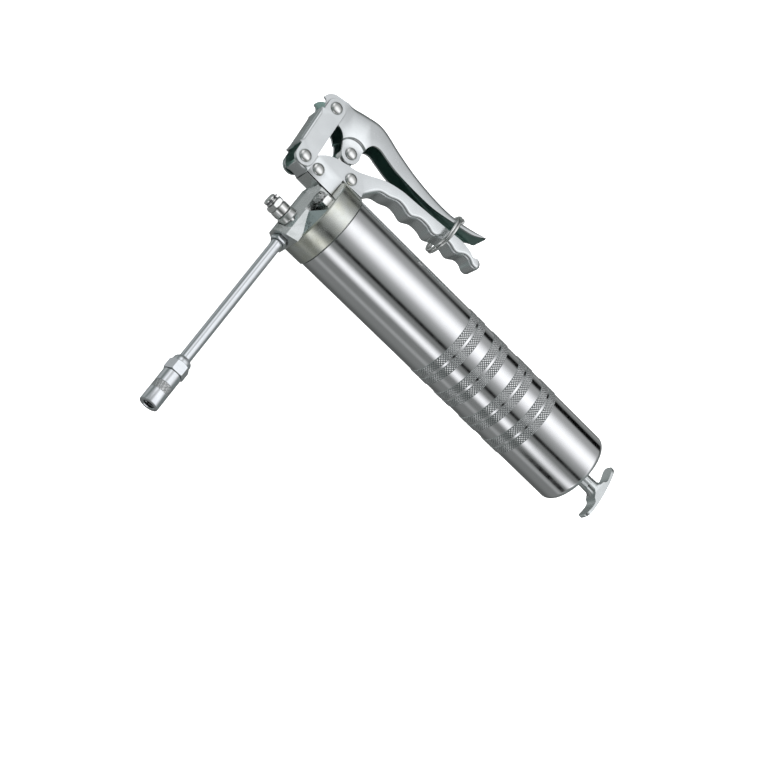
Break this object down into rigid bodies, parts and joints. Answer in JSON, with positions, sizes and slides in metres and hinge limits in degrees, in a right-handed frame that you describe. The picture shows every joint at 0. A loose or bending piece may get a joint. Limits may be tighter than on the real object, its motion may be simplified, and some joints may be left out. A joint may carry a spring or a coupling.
{
  "type": "grease gun",
  "caption": "Hand lever grease gun with a screw-in barrel, sprung follower rod, rigid outlet pipe and nipple coupler, its lever held shut by a wire ring.",
  "frame": {"origin": "middle of the gun's bounding box; the pump's bore crosses the barrel's axis at x = -0.126228, y = 0.045354, z = 0", "axes": "+X along the barrel from the head to its tail, +Y along the pump's bore from the coupler towards the levers, +Z square to the plane the levers move in"},
  "size_m": [0.328, 0.2612, 0.058],
  "materials": {
    "nickel": "bright nickel plate, lightly brushed round",
    "cast_zinc": "fine casting, zinc plated with a faint yellow-green tint",
    "zinc_sheet": "pressed sheet, satin zinc plate",
    "zinc_pipe": "bluish zinc plate",
    "bright_steel": "bright turned steel",
    "spring_steel": "drawn spring wire",
    "rubber": "oil-proof moulded rubber"
  },
  "bodies": {
    "head": {"head_casting": "cast_zinc", "fixed_grip": "zinc_sheet", "rivet_link_grip": "bright_steel", "rivet_grip_front": "bright_steel", "rivet_grip_back": "bright_steel", "plunger_spring": "spring_steel", "outlet_check_spring": "spring_steel", "outlet_nut": "zinc_pipe", "outlet_pipe": "zinc_pipe", "coupler_body": "zinc_pipe", "coupler_seal": "rubber", "coupler_spring": "spring_steel", "filler_body": "bright_steel", "filler_nipple": "bright_steel", "filler_check_spring": "spring_steel", "bleed_valve_body": "bright_steel"},
    "gasket": {"barrel_gasket": "rubber"},
    "barrel": {"barrel_tube": "nickel", "rod_guide_bush": "cast_zinc", "follower_spring": "spring_steel"},
    "follower": {"follower_cup": "rubber", "follower_front_plate": "bright_steel", "follower_back_plate": "bright_steel"},
    "rod": {"follower_rod": "bright_steel", "follower_nut": "bright_steel", "t_handle": "cast_zinc"},
    "link": {"link": "zinc_sheet", "rivet_link_lever": "bright_steel"},
    "lever": {"upper_lever": "zinc_sheet", "rivet_plunger": "bright_steel"},
    "plunger": {"plunger": "bright_steel"},
    "lock_ring": {"lock_ring": "bright_steel"},
    "coupler_sleeve": {"coupler_sleeve": "zinc_pipe", "coupler_jaw_1": "bright_steel", "coupler_jaw_2": "bright_steel", "coupler_jaw_3": "bright_steel"},
    "bleed_screw": {"bleed_screw": "bright_steel"},
    "outlet_check_ball": {"outlet_check_ball": "bright_steel"},
    "filler_check_ball": {"filler_check_ball": "bright_steel"}
  },
  "joints": [
    {"name": "barrel_advance", "type": "slide", "parent": "head", "child": "gasket", "axis": [1, 0, 0], "range_m": [0, 0.0081]},
    {"name": "barrel_turn", "type": "hinge", "parent": "gasket", "child": "barrel", "pos_m": [0, 0.04535, 0], "axis": [1, 0, 0], "range_deg": [0, 1440]},
    {"name": "follower_slide", "type": "slide", "parent": "barrel", "child": "follower", "axis": [1, 0, 0], "range_m": [0, 0.17], "stiffness_N_per_m": 40, "deforming": ["follower_spring"]},
    {"name": "rod_turn", "type": "hinge", "parent": "follower", "child": "rod", "pos_m": [0, 0.04535, 0], "axis": [1, 0, 0], "continuous": true},
    {"name": "link_swing", "type": "hinge", "parent": "head", "child": "link", "pos_m": [-0.14943, 0.06715, 0], "axis": [0, 0, 1], "range_deg": [0, 6]},
    {"name": "lever_open", "type": "hinge", "parent": "link", "child": "lever", "pos_m": [-0.15323, 0.11125, 0], "axis": [0, 0, 1], "range_deg": [0, 24.15]},
    {"name": "plunger_slide", "type": "slide", "parent": "head", "child": "plunger", "axis": [0, 1, 0], "range_m": [0, 0.0152], "deforming": ["plunger_spring"]},
    {"name": "lock_ring_off", "type": "slide", "parent": "head", "child": "lock_ring", "axis": [0.9806, 0.1961, 0], "range_m": [0, 0.6]},
    {"name": "coupler_sleeve_turn", "type": "hinge", "parent": "head", "child": "coupler_sleeve", "pos_m": [-0.12623, -0.11465, 0], "axis": [0, -1, 0], "range_deg": [-180, 180]},
    {"name": "bleed_screw_turn", "type": "hinge", "parent": "head", "child": "bleed_screw", "pos_m": [-0.12623, 0.04855, 0.0148], "axis": [-1, 0, 0], "range_deg": [0, 180]},
    {"name": "outlet_check_lift", "type": "slide", "parent": "head", "child": "outlet_check_ball", "axis": [0, -1, 0], "range_m": [0, 0.001], "deforming": ["outlet_check_spring"]},
    {"name": "filler_check_lift", "type": "slide", "parent": "head", "child": "filler_check_ball", "axis": [1, 0, 0], "range_m": [0, 0.001], "deforming": ["filler_check_spring"]}
  ],
  "couplings": [
    {"joint": "barrel_advance", "follows": "barrel_turn", "m_per_rad": 0.00031831},
    {"joint": "link_swing", "follows": "lever_open", "ratio": 0.2422},
    {"joint": "plunger_slide", "follows": "lever_open", "m_per_rad": 0.0355},
    {"joint": "lock_ring_off", "follows": "lever_open", "m_per_rad": 1.37}
  ]
}
